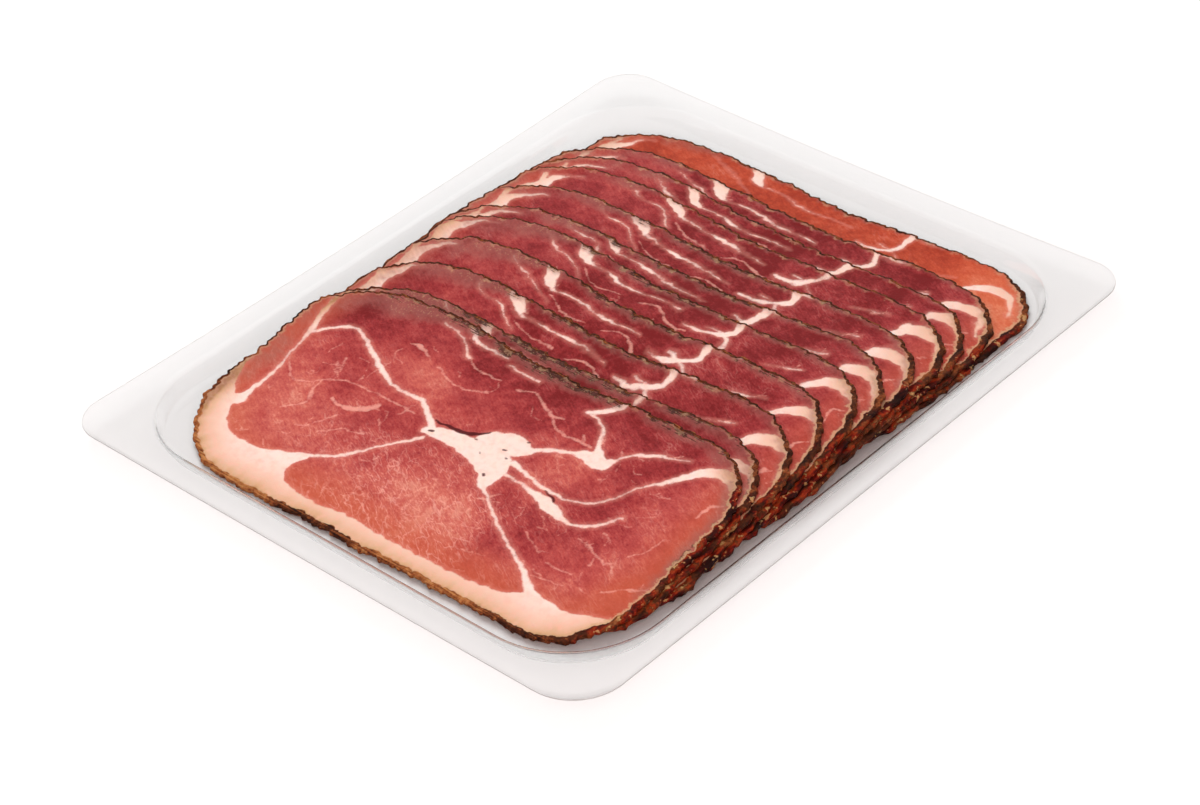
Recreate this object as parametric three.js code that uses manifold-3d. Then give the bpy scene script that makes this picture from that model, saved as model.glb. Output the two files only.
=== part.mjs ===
// A pack of sliced ham: a clear formed tray with a shallow well, and eleven thin slices fanned in it.
// Every slice comes down to the floor of the well at its front edge, and lies on the slices behind it.
// Millimetres, +Z up. The origin is under the middle of the tray, and +Y runs towards the lowest slice.

import * as THREE from 'three';
import { mergeVertices } from 'three/addons/utils/BufferGeometryUtils.js';
import Module from 'manifold-3d';

// The tray's outside.
const TRAY_WIDTH = 200;
const TRAY_LENGTH = 240;
const TRAY_HEIGHT = 7.3;
const SHEET = 0.6;
const RIM_CORNER_RADIUS = 12;
const NEAR_CORNER_RADIUS = 16;
const RIM_BOW = 0.4;
const RIM_SAG = 0.8;

// The well, at the height of the rim.
const MOUTH_WIDTH = 182.2;
const MOUTH_LENGTH = 220.4;
const MOUTH_CORNER_RADIUS = 30;
const WALL_LEAN = 2.3;
const BEND_REACH = 1.5;

// A slice, and how the slices lie on each other.
const SLICE_LENGTH = 83.6;
const SLICE_THICKNESS = 1.12;
const LAYER_GAP = 0.28;
const LAYER_STEP = SLICE_THICKNESS + LAYER_GAP;
const BACK_LEFT_RADIUS = 20;
const BACK_RIGHT_RADIUS = 23;
const FRONT_LEFT_RADIUS = 30;
const FRONT_RIGHT_RADIUS = 21;
const FRONT_LEFT_TAPER = 3;
const FRONT_SLANT = 2;
const BACK_LEFT_FALL = 4.5;
const BACK_LEFT_FALL_REACH = 30;
const LOBE_HEIGHT = 1.2;
const LOBE_SPACING = 98;
const LOBE_START = -44;
const RIPPLE = 0.25;

// Where each slice lies, from the lowest at the back to the top one at the front: its back edge along Y,
// its left and right ends along X, how much wider it is at the front right, and its turn in degrees.
const SLICE_PLACES = [
  { back: 104.2, left: -83.6, right: 85.2, flare: 0.4, turn: 0.2 },
  { back: 89.9, left: -86.3, right: 82.8, flare: 4.2, turn: -0.2 },
  { back: 79.4, left: -86.0, right: 81.2, flare: 6.0, turn: -1.6 },
  { back: 69.8, left: -86.0, right: 80.4, flare: 7.4, turn: -1.2 },
  { back: 55.2, left: -85.2, right: 80.6, flare: 7.6, turn: -0.2 },
  { back: 41.0, left: -83.4, right: 80.6, flare: 7.8, turn: 0.9 },
  { back: 30.6, left: -82.2, right: 80.0, flare: 8.0, turn: -1.2 },
  { back: 15.4, left: -82.2, right: 79.6, flare: 8.0, turn: -0.5 },
  { back: 0.4, left: -82.6, right: 80.2, flare: 7.6, turn: 0.2 },
  { back: -14.2, left: -83.0, right: 81.0, flare: 4.0, turn: 1.4 },
  { back: -20.0, left: -83.4, right: 80.4, flare: 2.4, turn: 0.0 },
];

// How finely the curves are cut.
const CORNER_STEPS = 8;
const SIDE_STEPS = 4;
const BEND_STEPS = 3;
const SLICE_OUTLINE_POINTS = 72;
const STRIP = 3;

const wasm = await Module();
wasm.setup();

// ---------------------------------------------------------------- closed meshes

function bodyFromRings(rings) {
  // A closed skin over rings of equal length, with a flat cap inside the first and the last.
  const count = rings[0].length;
  const positions = rings.flat().flatMap((p) => [p.x, p.y, p.z]);
  const triangles = [];
  for (let row = 0; row + 1 < rings.length; row++) {
    for (let i = 0; i < count; i++) {
      const a = row * count + i;
      const b = row * count + (i + 1) % count;
      triangles.push(a, a + count, b, b, a + count, b + count);
    }
  }
  const last = (rings.length - 1) * count;
  const flat = (ring) => ring.map((p) => new THREE.Vector2(p.x, p.y));
  for (const [a, b, c] of THREE.ShapeUtils.triangulateShape(flat(rings[0]), [])) {
    triangles.push(a, b, c);
  }
  for (const [a, b, c] of THREE.ShapeUtils.triangulateShape(flat(rings.at(-1)), [])) {
    triangles.push(last + a, last + c, last + b);
  }
  const geometry = new THREE.BufferGeometry();
  geometry.setAttribute('position', new THREE.Float32BufferAttribute(positions, 3));
  geometry.setIndex(triangles);
  return geometry;
}

function toSolid(geometry) {
  const bare = geometry.clone();
  bare.deleteAttribute('normal');
  bare.deleteAttribute('uv');
  const merged = mergeVertices(bare, 1e-4);
  return new wasm.Manifold(new wasm.Mesh({
    numProp: 3,
    vertProperties: new Float32Array(merged.attributes.position.array),
    triVerts: new Uint32Array(merged.index.array),
  }));
}

function toGeometry(solid) {
  const mesh = solid.getMesh();
  const geometry = new THREE.BufferGeometry();
  geometry.setAttribute('position', new THREE.Float32BufferAttribute(mesh.vertProperties, 3));
  geometry.setIndex(Array.from(mesh.triVerts));
  return geometry;
}

// ---------------------------------------------------------------- the tray

const CORNER_SIGNS = [[1, 1], [-1, 1], [-1, -1], [1, -1]];

function roundedRing(halfX, halfY, radii, z, rim = 0) {
  // Anticlockwise seen from above. With rim at 1, the sides bow in and sag between the corners.
  const ring = [];
  CORNER_SIGNS.forEach(([signX, signY], corner) => {
    const radius = radii[corner];
    const centre = new THREE.Vector3(signX * (halfX - radius), signY * (halfY - radius), z);
    for (let i = 0; i <= CORNER_STEPS; i++) {
      const angle = (corner + i / CORNER_STEPS) * Math.PI / 2;
      const reach = new THREE.Vector3(Math.cos(angle), Math.sin(angle), 0);
      ring.push(centre.clone().addScaledVector(reach, radius));
    }
    const next = (corner + 1) % 4;
    const [nextX, nextY] = CORNER_SIGNS[next];
    const angle = (corner + 1) * Math.PI / 2;
    const outward = new THREE.Vector3(Math.cos(angle), Math.sin(angle), 0);
    const end = new THREE.Vector3(nextX * (halfX - radii[next]), nextY * (halfY - radii[next]), z);
    end.addScaledVector(outward, radii[next]);
    const start = ring.at(-1);
    for (let i = 1; i < SIDE_STEPS; i++) {
      const along = i / SIDE_STEPS;
      const slack = rim * 4 * along * (1 - along);
      const point = start.clone().lerp(end, along);
      point.addScaledVector(outward, -RIM_BOW * slack);
      point.z -= RIM_SAG * slack;
      ring.push(point);
    }
  });
  return ring;
}

function wallSection() {
  // The middle of the sheet from the floor up the wall to the rim: x is measured outwards from the
  // foot of the wall, and y is the height.
  const low = SHEET / 2;
  const high = TRAY_HEIGHT - SHEET / 2;
  const foot = new THREE.Vector2(0, low);
  const lip = new THREE.Vector2(WALL_LEAN, high);
  const upTheWall = lip.clone().sub(foot).normalize();
  const floorBend = new THREE.QuadraticBezierCurve(
    new THREE.Vector2(-BEND_REACH, low), foot, foot.clone().addScaledVector(upTheWall, BEND_REACH));
  const rimBend = new THREE.QuadraticBezierCurve(
    lip.clone().addScaledVector(upTheWall, -BEND_REACH), lip,
    new THREE.Vector2(WALL_LEAN + BEND_REACH, high));
  const section = [];
  for (const bend of [floorBend, rimBend]) {
    for (let i = 0; i <= BEND_STEPS; i++) {
      const tangent = bend.getTangent(i / BEND_STEPS);
      section.push({ at: bend.getPoint(i / BEND_STEPS), inward: new THREE.Vector2(-tangent.y, tangent.x) });
    }
  }
  return section;
}

function makeTray() {
  const footX = MOUTH_WIDTH / 2 - WALL_LEAN;
  const footY = MOUTH_LENGTH / 2 - WALL_LEAN;
  const footRadius = MOUTH_CORNER_RADIUS - WALL_LEAN;
  const wallRing = (point) => roundedRing(
    footX + point.x, footY + point.x, Array(4).fill(footRadius + point.x), point.y);
  const rimRadii = [RIM_CORNER_RADIUS, RIM_CORNER_RADIUS, RIM_CORNER_RADIUS, NEAR_CORNER_RADIUS];
  const rimRing = (z) => roundedRing(TRAY_WIDTH / 2, TRAY_LENGTH / 2, rimRadii, z, 1);
  const section = wallSection();
  const face = (side) => section.map(({ at, inward }) => {
    return wallRing(at.clone().addScaledVector(inward, side * SHEET / 2));
  });
  return bodyFromRings([
    ...face(1),
    rimRing(TRAY_HEIGHT),
    rimRing(TRAY_HEIGHT - SHEET),
    ...face(-1).reverse(),
  ]);
}

// ---------------------------------------------------------------- the slices

function sliceOutline(place, index) {
  // A rounded rectangle that widens towards the front right and narrows towards the front left, with
  // two low lobes along its back edge and a whole edge that is a little uneven.
  const halfX = (place.right - place.left) / 2;
  const halfY = SLICE_LENGTH / 2;
  const radii = [BACK_RIGHT_RADIUS, BACK_LEFT_RADIUS, FRONT_LEFT_RADIUS, FRONT_RIGHT_RADIUS];
  const plain = new THREE.Shape();
  CORNER_SIGNS.forEach(([signX, signY], corner) => {
    const x = signX * (halfX - radii[corner]);
    const y = signY * (halfY - radii[corner]);
    const angle = corner * Math.PI / 2;
    plain.absarc(x, y, radii[corner], angle, angle + Math.PI / 2, false);
  });
  plain.closePath();
  const middle = new THREE.Vector2((place.left + place.right) / 2, place.back - halfY);
  const points = plain.getSpacedPoints(SLICE_OUTLINE_POINTS).slice(0, -1);
  return points.map((point, i) => {
    const round = 2 * Math.PI * i / points.length;
    const uneven = Math.sin(9 * round + 1.7 * index) + Math.sin(14 * round - 2.3 * index);
    const towardsFront = 0.5 - point.y / (2 * halfY);
    const towardsRight = THREE.MathUtils.clamp(point.x / halfX, 0, 1);
    const towardsLeft = THREE.MathUtils.clamp(-point.x / halfX, 0, 1);
    const fromLeftEnd = point.x + halfX;
    const atLeftEnd = THREE.MathUtils.clamp(1 - fromLeftEnd / BACK_LEFT_FALL_REACH, 0, 1);
    const onBack = THREE.MathUtils.smoothstep(point.y, halfY - BACK_LEFT_RADIUS, halfY);
    const lobe = Math.cos(2 * Math.PI * (point.x - LOBE_START) / LOBE_SPACING);
    const moved = point.clone().multiplyScalar(1 + RIPPLE * uneven / point.length());
    moved.x += towardsFront * (place.flare * towardsRight + FRONT_LEFT_TAPER * towardsLeft);
    moved.y += FRONT_SLANT * towardsFront * point.x / halfX;
    moved.y += onBack * (LOBE_HEIGHT * lobe - BACK_LEFT_FALL * atLeftEnd);
    moved.rotateAround(new THREE.Vector2(), THREE.MathUtils.degToRad(place.turn));
    return moved.add(middle);
  });
}

const outlines = SLICE_PLACES.map(sliceOutline);
const frontEdges = outlines.map((outline) => Math.min(...outline.map((point) => point.y)));

function layersBelow(index, y) {
  // How many lower slices hold this one up at y. Past the front edge of a slice below, the count falls
  // over the stretch before the next front edge, so that slices bend down and keep the same gap.
  let layers = 0;
  for (let lower = 0; lower < index; lower++) {
    const top = frontEdges[lower] - STRIP;
    const bottom = Math.min(top - STRIP, frontEdges[lower + 1] + STRIP);
    layers += THREE.MathUtils.clamp((y - bottom) / (top - bottom), 0, 1);
  }
  return layers;
}

function makeSlice(index) {
  const outline = outlines[index];
  const left = Math.min(...outline.map((point) => point.x)) - STRIP;
  const right = Math.max(...outline.map((point) => point.x)) + STRIP;
  const back = Math.max(...outline.map((point) => point.y));
  const firstStrip = Math.floor(frontEdges[index] / STRIP) - 1;
  const lastStrip = Math.ceil(back / STRIP) + 1;

  // A sheet that follows the slices below, cut in strips that are the same for every slice.
  const rings = [];
  for (let strip = firstStrip; strip <= lastStrip; strip++) {
    const y = strip * STRIP;
    const z = SHEET + LAYER_GAP / 2 + LAYER_STEP * layersBelow(index, y);
    rings.push([
      new THREE.Vector3(left, y, z),
      new THREE.Vector3(left, y, z + SLICE_THICKNESS),
      new THREE.Vector3(right, y, z + SLICE_THICKNESS),
      new THREE.Vector3(right, y, z),
    ]);
  }
  const tall = SHEET + LAYER_STEP * (SLICE_PLACES.length + 1);
  const block = new THREE.ExtrudeGeometry(new THREE.Shape(outline), { depth: tall, bevelEnabled: false });
  return toGeometry(toSolid(sheetFromRings(rings)).intersect(toSolid(block)));
}

function sheetFromRings(rings) {
  // Four-cornered rings along Y, with a cap at each end.
  const positions = rings.flat().flatMap((p) => [p.x, p.y, p.z]);
  const triangles = [0, 2, 1, 0, 3, 2];
  for (let row = 0; row + 1 < rings.length; row++) {
    for (let i = 0; i < 4; i++) {
      const a = row * 4 + i;
      const b = row * 4 + (i + 1) % 4;
      triangles.push(a, b, a + 4, b, b + 4, a + 4);
    }
  }
  const end = (rings.length - 1) * 4;
  triangles.push(end, end + 1, end + 2, end, end + 2, end + 3);
  const geometry = new THREE.BufferGeometry();
  geometry.setAttribute('position', new THREE.Float32BufferAttribute(positions, 3));
  geometry.setIndex(triangles);
  return geometry;
}

// ---------------------------------------------------------------- the pack

const clearPlastic = new THREE.MeshStandardMaterial({ color: 0xeef0f0, roughness: 0.08, metalness: 0 });
const redMeat = new THREE.MeshStandardMaterial({ color: 0xb4524b, roughness: 0.45, metalness: 0 });
const thinMeat = new THREE.MeshStandardMaterial({ color: 0xd0603e, roughness: 0.4, metalness: 0 });

const pack = new THREE.Group();
pack.name = 'ham_pack';

const tray = new THREE.Mesh(makeTray(), clearPlastic);
tray.name = 'tray';
pack.add(tray);

SLICE_PLACES.forEach((place, index) => {
  const slice = new THREE.Mesh(makeSlice(index), index === 0 ? thinMeat : redMeat.clone());
  slice.name = `slice_${String(index + 1).padStart(2, '0')}`;
  pack.add(slice);
});

export default pack;
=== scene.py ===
# %% [markdown]
# # A pack of sliced ham
#
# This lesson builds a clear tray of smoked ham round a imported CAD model. The CAD model says where
# every slice lies and how it bends over the ones below. Here we give each slice a finely divided
# mesh, draw the muscles, fat and rind of a cut ham on it, and form the thin plastic sheet again
# with soft bends. Lengths are thought of in millimetres and turned to metres at the end.

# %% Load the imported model
import math

import bmesh
import bpy
import numpy as np
from mathutils import Matrix, Vector


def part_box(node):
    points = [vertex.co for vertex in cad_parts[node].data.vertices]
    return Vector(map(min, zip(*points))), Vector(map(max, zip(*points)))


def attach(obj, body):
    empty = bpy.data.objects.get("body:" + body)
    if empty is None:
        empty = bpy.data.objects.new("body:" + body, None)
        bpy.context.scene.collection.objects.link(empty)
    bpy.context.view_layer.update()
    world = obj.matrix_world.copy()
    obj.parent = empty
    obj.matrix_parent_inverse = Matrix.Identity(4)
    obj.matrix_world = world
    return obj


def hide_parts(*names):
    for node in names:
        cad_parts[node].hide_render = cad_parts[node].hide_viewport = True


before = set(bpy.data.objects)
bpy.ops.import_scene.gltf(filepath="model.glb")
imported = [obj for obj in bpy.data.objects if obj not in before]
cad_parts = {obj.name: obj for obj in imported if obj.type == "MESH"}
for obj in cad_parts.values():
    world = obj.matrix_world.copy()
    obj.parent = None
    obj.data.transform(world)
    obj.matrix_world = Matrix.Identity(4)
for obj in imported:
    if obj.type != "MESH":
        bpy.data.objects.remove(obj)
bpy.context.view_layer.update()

MM = 0.001
SLICE_NODES = sorted(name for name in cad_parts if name.startswith("slice_"))
TOP_SLICE = SLICE_NODES[-1]

# %% [markdown]
# ## Camera
#
# The pack is seen from above its front right corner with a long lens, so its sides stay nearly
# parallel. The camera is placed by two angles and a distance from a point near the middle of the
# rim, and it is rolled a few degrees, as a camera held by hand is.

# %% Camera
FOCAL_LENGTH = 95.27
SENSOR_WIDTH = 36
AZIMUTH = math.radians(44.853)
ELEVATION = math.radians(37.071)
ROLL = math.radians(-4.575)
DISTANCE = 897.5 * MM
AIM = Vector((16.417 * MM, -20.315 * MM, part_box("tray")[1].z))

backwards = Vector((
    math.sin(AZIMUTH) * math.cos(ELEVATION), -math.cos(AZIMUTH) * math.cos(ELEVATION), math.sin(ELEVATION)))
camera = bpy.data.objects.new("camera", bpy.data.cameras.new("camera"))
camera.data.lens = FOCAL_LENGTH
camera.data.sensor_width = SENSOR_WIDTH
level = backwards.to_track_quat("Z", "Y").to_matrix().to_4x4()
camera.matrix_world = Matrix.Translation(AIM + backwards * DISTANCE) @ level @ Matrix.Rotation(ROLL, 4, "Z")
bpy.context.scene.collection.objects.link(camera)
bpy.context.scene.camera = camera
print("camera at", [round(v, 3) for v in camera.matrix_world.translation])

# %% [markdown]
# ## Colours and nodes
#
# Colours are written as the hex values seen on a screen and turned to linear light by one
# function. One small helper adds a shader node with its settings and its links, so that a material
# reads as a list of steps. A link starts from a socket, or from a node whose result is meant.

# %% Helpers for materials
# What a mix of two colours is set to. Its input 0 is the share, and 6 and 7 are the colours.
COLOURS = {"data_type": "RGBA"}


def linear(code):
    """A hex colour as linear red, green, blue and alpha."""
    shares = [int(code[i:i + 2], 16) / 255 for i in (1, 3, 5)]
    return tuple(c / 12.92 if c <= 0.04045 else ((c + 0.055) / 1.055) ** 2.4 for c in shares) + (1.0,)


def add(tree, kind, settings=None, links=None):
    """Adds a node. Settings name its properties, inputs or colour stops, and links name its inputs."""
    node = tree.nodes.new(kind)
    for name, value in (settings or {}).items():
        if name == "stops":
            stops = node.color_ramp.elements
            for i, (position, code) in enumerate(value):
                stop = stops[i] if i < 2 else stops.new(position)
                stop.position = position
                stop.color = linear(code)
        elif isinstance(name, str) and hasattr(node, name):
            setattr(node, name, value)
        else:
            node.inputs[name].default_value = linear(value) if isinstance(value, str) else value
    for name, source in (links or {}).items():
        if isinstance(source, bpy.types.Node):
            source = next(socket for socket in source.outputs if socket.enabled)
        tree.links.new(source, node.inputs[name])
    return node


def new_material(name):
    """A new material with no nodes yet, and its node tree."""
    material = bpy.data.materials.new(name)
    material.use_nodes = True
    material.node_tree.nodes.clear()
    return material, material.node_tree


# %% Helper for pieces
def make_piece(bm, name):
    """An object that has the mesh which a bmesh holds."""
    mesh = bpy.data.meshes.new(name)
    bm.to_mesh(mesh)
    bm.free()
    piece = bpy.data.objects.new(name, mesh)
    bpy.context.scene.collection.objects.link(piece)
    return piece


# %% [markdown]
# ## Floor and light
#
# The pack lies on a seamless white sweep of matt paper, a hair above it so that the two never share
# a plane. One lamp would leave the crusty ends black, and a white sky alone would make the slices
# look flat. So a large soft window stands behind the left side, a pale rosy reflector at the near
# right fills the sides that face away from it, and a faint sky does the rest.

# %% Floor
FLOOR_GAP = 0.1 * MM
FLOOR_HALF = 3


def make_floor():
    bm = bmesh.new()
    corners = bmesh.ops.create_grid(bm, x_segments=1, y_segments=1, size=FLOOR_HALF)["verts"]
    bmesh.ops.translate(bm, vec=(0, 0, -FLOOR_GAP), verts=corners)
    floor = make_piece(bm, "floor")
    material, tree = new_material("matt_white_sweep")
    paper = add(tree, "ShaderNodeBsdfPrincipled", {"Base Color": "#FBFBFB", "Roughness": 0.9})
    add(tree, "ShaderNodeOutputMaterial", links={"Surface": paper})
    floor.data.materials.append(material)
    return floor


floor = make_floor()
print("floor:", 2 * FLOOR_HALF, "m wide")

# %% Light
# The direction in which the sky is rosiest.
NEAR_RIGHT = (0.66, -0.66, 0.35)


def soft_light(name, place, size, watts, colour):
    """A square light that faces the pack. It isn't seen in gloss or through clear plastic."""
    light = bpy.data.objects.new(name, bpy.data.lights.new(name, "AREA"))
    light.data.size = size
    light.data.energy = watts
    light.data.color = linear(colour)[:3]
    light.visible_glossy = False
    light.visible_transmission = False
    light.matrix_world = Matrix.Translation(place) @ place.to_track_quat("Z", "Y").to_matrix().to_4x4()
    bpy.context.scene.collection.objects.link(light)
    return light


def white_sky():
    """A faint sky: white behind, a little rosy on the near right."""
    world = bpy.data.worlds.new("white_sky")
    world.use_nodes = True
    tree = world.node_tree
    tree.nodes.clear()
    heading = add(tree, "ShaderNodeTexCoord").outputs["Generated"]
    near_side = add(tree, "ShaderNodeVectorMath", {"operation": "DOT_PRODUCT", 1: NEAR_RIGHT}, {0: heading})
    share = add(tree, "ShaderNodeMapRange", {"From Min": -0.2, "From Max": 0.9}, {
        "Value": near_side.outputs["Value"]})
    colour = add(tree, "ShaderNodeMix", {**COLOURS, 6: "#FFFFFF", 7: "#FFF0EE"}, {0: share})
    sky = add(tree, "ShaderNodeBackground", {"Strength": 0.55}, {"Color": colour})
    add(tree, "ShaderNodeOutputWorld", links={"Surface": sky})
    bpy.context.scene.world = world


window = soft_light("window", place=Vector((-0.7, 0.38, 1.3)), size=1.0, watts=14.2, colour="#F6FBFB")
reflector = soft_light("reflector", place=Vector((0.75, -0.85, 0.75)), size=1.0, watts=9.8, colour="#FFE0DA")
white_sky()
bpy.context.scene.view_settings.view_transform = "Standard"
print("lights:", window.name, reflector.name, "and the sky")

# %% [markdown]
# ## The tray
#
# The real tray is one sheet of clear PET, less than half a millimetre thick, drawn down into a flat
# mould while hot. That leaves a shallow well with a leaning wall, soft bends and a flat rim that was
# cut out afterwards. It could be a box with its inside cut away, but a sheet is easier to make as
# the real one is: rounded outlines, one for each turn of the sheet from the rim down to the floor
# of the well, are bridged, and solidify gives the thickness.

# %% Tray sizes, in millimetres
# The rim bows inwards and sags halfway along each side. PLASTIC is the thickness of the sheet.
TRAY_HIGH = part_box("tray")[1] / MM
RIM_HALF = TRAY_HIGH.xy
RIM_WIDTH = Vector((8.9, 9.8))
MOUTH_HALF = RIM_HALF - RIM_WIDTH
MOUTH_RADIUS = 30
WALL_LEAN = 2.3
RIM_RADIUS = 12
NEAR_RADIUS = 16
BEND = 1.6
RIM_BOW = 0.4
RIM_SAG = 0.8
PLASTIC = 0.45
CUT_ROUNDING = 0.2
CORNER_CUTS = 14
SIDE_CUTS = 15
BEND_CUTS = 6
RIM_CUTS = 3
EDGE_CUTS = 3
CUT_ANGLE = math.radians(60)
SHARP_ANGLE = math.radians(35)

# %% Rounded outlines
def rounded_face(bm, half, radius, near_radius, height):
    """A flat face with round corners. The corner at +X, -Y has its own radius. Returns its edges."""
    others = set(bm.edges)
    corners = bmesh.ops.create_grid(bm, x_segments=1, y_segments=1, size=1)["verts"]
    bmesh.ops.scale(bm, vec=(half.x, half.y, 1), verts=corners)
    bmesh.ops.translate(bm, vec=(0, 0, height), verts=corners)
    for corner in corners:
        near = corner.co.x > 0 > corner.co.y
        bmesh.ops.bevel(
            bm, geom=[corner], offset=near_radius if near else radius, segments=CORNER_CUTS,
            profile=0.5, affect="VERTICES", material=-1)
    sides = [edge for edge in bm.edges if edge not in others and edge.calc_length() > half.x]
    bmesh.ops.subdivide_edges(bm, edges=sides, cuts=SIDE_CUTS)
    return [edge for edge in bm.edges if edge not in others]


def bend(start, corner, end):
    """Points along a soft bend between two straight runs of the section."""
    shares = [i / BEND_CUTS for i in range(BEND_CUTS + 1)]
    return [start.lerp(corner, t).lerp(corner.lerp(end, t), t) for t in shares]


def wall_section():
    """The wall from rim to floor: how far inside the mouth each point lies, and its height."""
    mouth = Vector((0, TRAY_HIGH.z))
    foot = Vector((WALL_LEAN, PLASTIC))
    down = (foot - mouth).normalized() * BEND
    upper = bend(mouth - Vector((BEND, 0)), mouth, mouth + down)
    lower = bend(foot - down, foot, foot + Vector((BEND, 0)))
    return upper + [mouth.lerp(foot, 0.5)] + lower


# %% Tray mesh
def sag_rim(bm):
    """Bows the rim in and lets it sag between its corners, more the further out it is."""
    for vert in bm.verts:
        beyond = [(abs(vert.co[i]) - MOUTH_HALF[i]) / RIM_WIDTH[i] for i in (0, 1)]
        side = 0 if beyond[0] > beyond[1] else 1
        if beyond[side] <= 0:
            continue
        share = vert.co[1 - side] / (RIM_HALF[1 - side] - RIM_RADIUS)
        slack = max(0, 1 - share * share) * beyond[side]
        vert.co[side] -= math.copysign(RIM_BOW * slack, vert.co[side])
        vert.co.z -= RIM_SAG * slack


def make_tray():
    """The formed sheet: bridged outlines, given a thickness and a rounded cut edge."""
    bm = bmesh.new()
    outlines = [rounded_face(bm, RIM_HALF, RIM_RADIUS, NEAR_RADIUS, TRAY_HIGH.z)]
    for inside, height in wall_section():
        half = MOUTH_HALF - Vector((inside, inside))
        radius = MOUTH_RADIUS - inside
        outlines.append(rounded_face(bm, half, radius, radius, height))
    well_floor = [face for face in bm.faces if set(face.edges) & set(outlines[-1])]
    others = [face for face in bm.faces if face not in well_floor]
    bmesh.ops.delete(bm, geom=others, context="FACES_ONLY")
    bmesh.ops.inset_region(bm, faces=well_floor, thickness=BEND, use_even_offset=True)
    pairs = zip(outlines, outlines[1:])
    bridges = [bmesh.ops.bridge_loops(bm, edges=outer + inner) for outer, inner in pairs]
    bmesh.ops.subdivide_edges(bm, edges=bridges[0]["edges"], cuts=RIM_CUTS)
    bmesh.ops.recalc_face_normals(bm, faces=bm.faces)
    if sum(face.normal.z * face.calc_area() for face in bm.faces) < 0:
        bmesh.ops.reverse_faces(bm, faces=bm.faces)
    sag_rim(bm)
    bmesh.ops.solidify(bm, geom=bm.faces, thickness=PLASTIC)
    cut_edges = [edge for edge in bm.edges if edge.calc_face_angle(0) > CUT_ANGLE]
    rounded = bmesh.ops.bevel(
        bm, geom=cut_edges, offset=CUT_ROUNDING, segments=EDGE_CUTS, profile=0.5, affect="EDGES", material=-1)
    for face in rounded["faces"]:
        face.material_index = 1
    bmesh.ops.recalc_face_normals(bm, faces=bm.faces)

    # Millimetres become metres, and only the sharper edges stay sharp to the eye.
    bmesh.ops.scale(bm, vec=(MM, MM, MM), verts=bm.verts)
    for face in bm.faces:
        face.smooth = True
    for edge in bm.edges:
        edge.smooth = edge.calc_face_angle(0) < SHARP_ANGLE
    return make_piece(bm, "clear_tray")


tray = make_tray()
print("tray:", len(tray.data.polygons), "faces, height", round(tray.dimensions.z / MM, 2), "mm")

# %% [markdown]
# ## Clear PET
#
# PET is clear and glossy, and thermoforming leaves it a little uneven. Its refractive index is about
# 1.57, and 1.5 gives the softer outlines of a sheet this thin. It bends light where it curves, which
# draws the bends as darker lines. Plain glass would do for that, but it would put the food in a
# dark shadow, so light on its way to the food finds a nearly clear sheet. The die that cut the rim
# out left its edge frosted: rough, whitish and only partly clear, so it has its own material.

# %% Materials of the tray
def clear_pet():
    """The sheet: smooth and clear, with bright reflections and darker bends."""
    material, tree = new_material("thermoformed_clear_pet")
    plastic = add(tree, "ShaderNodeBsdfPrincipled", {
        "Base Color": "#FAFBFB", "Roughness": 0.06, "IOR": 1.5, "Transmission Weight": 1.0})
    clear = add(tree, "ShaderNodeBsdfTransparent", {"Color": "#FCFCFC"})
    ray = add(tree, "ShaderNodeLightPath")
    sheet = add(tree, "ShaderNodeMixShader", links={0: ray.outputs["Is Shadow Ray"], 1: plastic, 2: clear})
    add(tree, "ShaderNodeOutputMaterial", links={"Surface": sheet})
    return material


def cut_pet():
    """The cut edge of the rim, which catches the light as a pale line."""
    material, tree = new_material("frosted_cut_pet")
    edge = add(tree, "ShaderNodeBsdfPrincipled", {
        "Base Color": "#F2F4F4", "Roughness": 0.5, "IOR": 1.5, "Transmission Weight": 0.45})
    add(tree, "ShaderNodeOutputMaterial", links={"Surface": edge})
    return material


tray.data.materials.append(clear_pet())
tray.data.materials.append(cut_pet())
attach(tray, "root")
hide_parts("tray")
print("materials:", [material.name for material in tray.data.materials])

# %% [markdown]
# ## The cut face of the ham
#
# A ham is several muscles held together by fat, with a layer of fat and a smoked rind outside.
# Every slice of one ham shows nearly the same picture, a few tenths of a millimetre changed from
# one slice to the next. So the picture is drawn once, in a slice's own millimetres: x along the
# slice, and y from 0 at its back edge to -85 at its front. Each strand of fat is a smooth curve
# through a few points, and each point has a place and half a width. A chart on a quarter-millimetre
# grid keeps how deep each place lies in the fat, and the slices read from it. This could be painted
# by hand as an image, but a distance lets the material give the fat a crisp, ragged edge.

# %% Curves and the chart
CHART_STEP = 0.25
CHART_X = np.arange(-92, 92.01, CHART_STEP)
CHART_Y = np.arange(-92, 8.01, CHART_STEP)
# How far distances are followed, and half the width of the thinnest strand, in mm.
FAR = 8.0
THINNEST = 0.15


def smooth_curve(points, step=0.3):
    """A Catmull-Rom curve through the points, sampled about every step millimetres."""
    points = np.array(points, float)
    padded = np.vstack([2 * points[0] - points[1], points, 2 * points[-1] - points[-2]])
    runs = []
    for before, start, end, after in zip(padded[:-3], padded[1:-2], padded[2:-1], padded[3:]):
        count = max(2, int(np.hypot(*(end - start)[:2]) / step))
        t = np.linspace(0, 1, count, endpoint=False)[:, None]
        run = 2 * start + (end - before) * t + (2 * before - 5 * start + 4 * end - after) * t ** 2
        runs.append((run + (3 * start - before - 3 * end + after) * t ** 3) / 2)
    return np.vstack(runs + [points[-1:]])


def chart_window(x, y):
    """The part of the chart within FAR of a place, and how far its points are from the place."""
    left, right = np.searchsorted(CHART_X, (x - FAR, x + FAR))
    low, high = np.searchsorted(CHART_Y, (y - FAR, y + FAR))
    return np.s_[low:high, left:right], np.hypot(CHART_X[left:right] - x, CHART_Y[low:high, None] - y)


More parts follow.
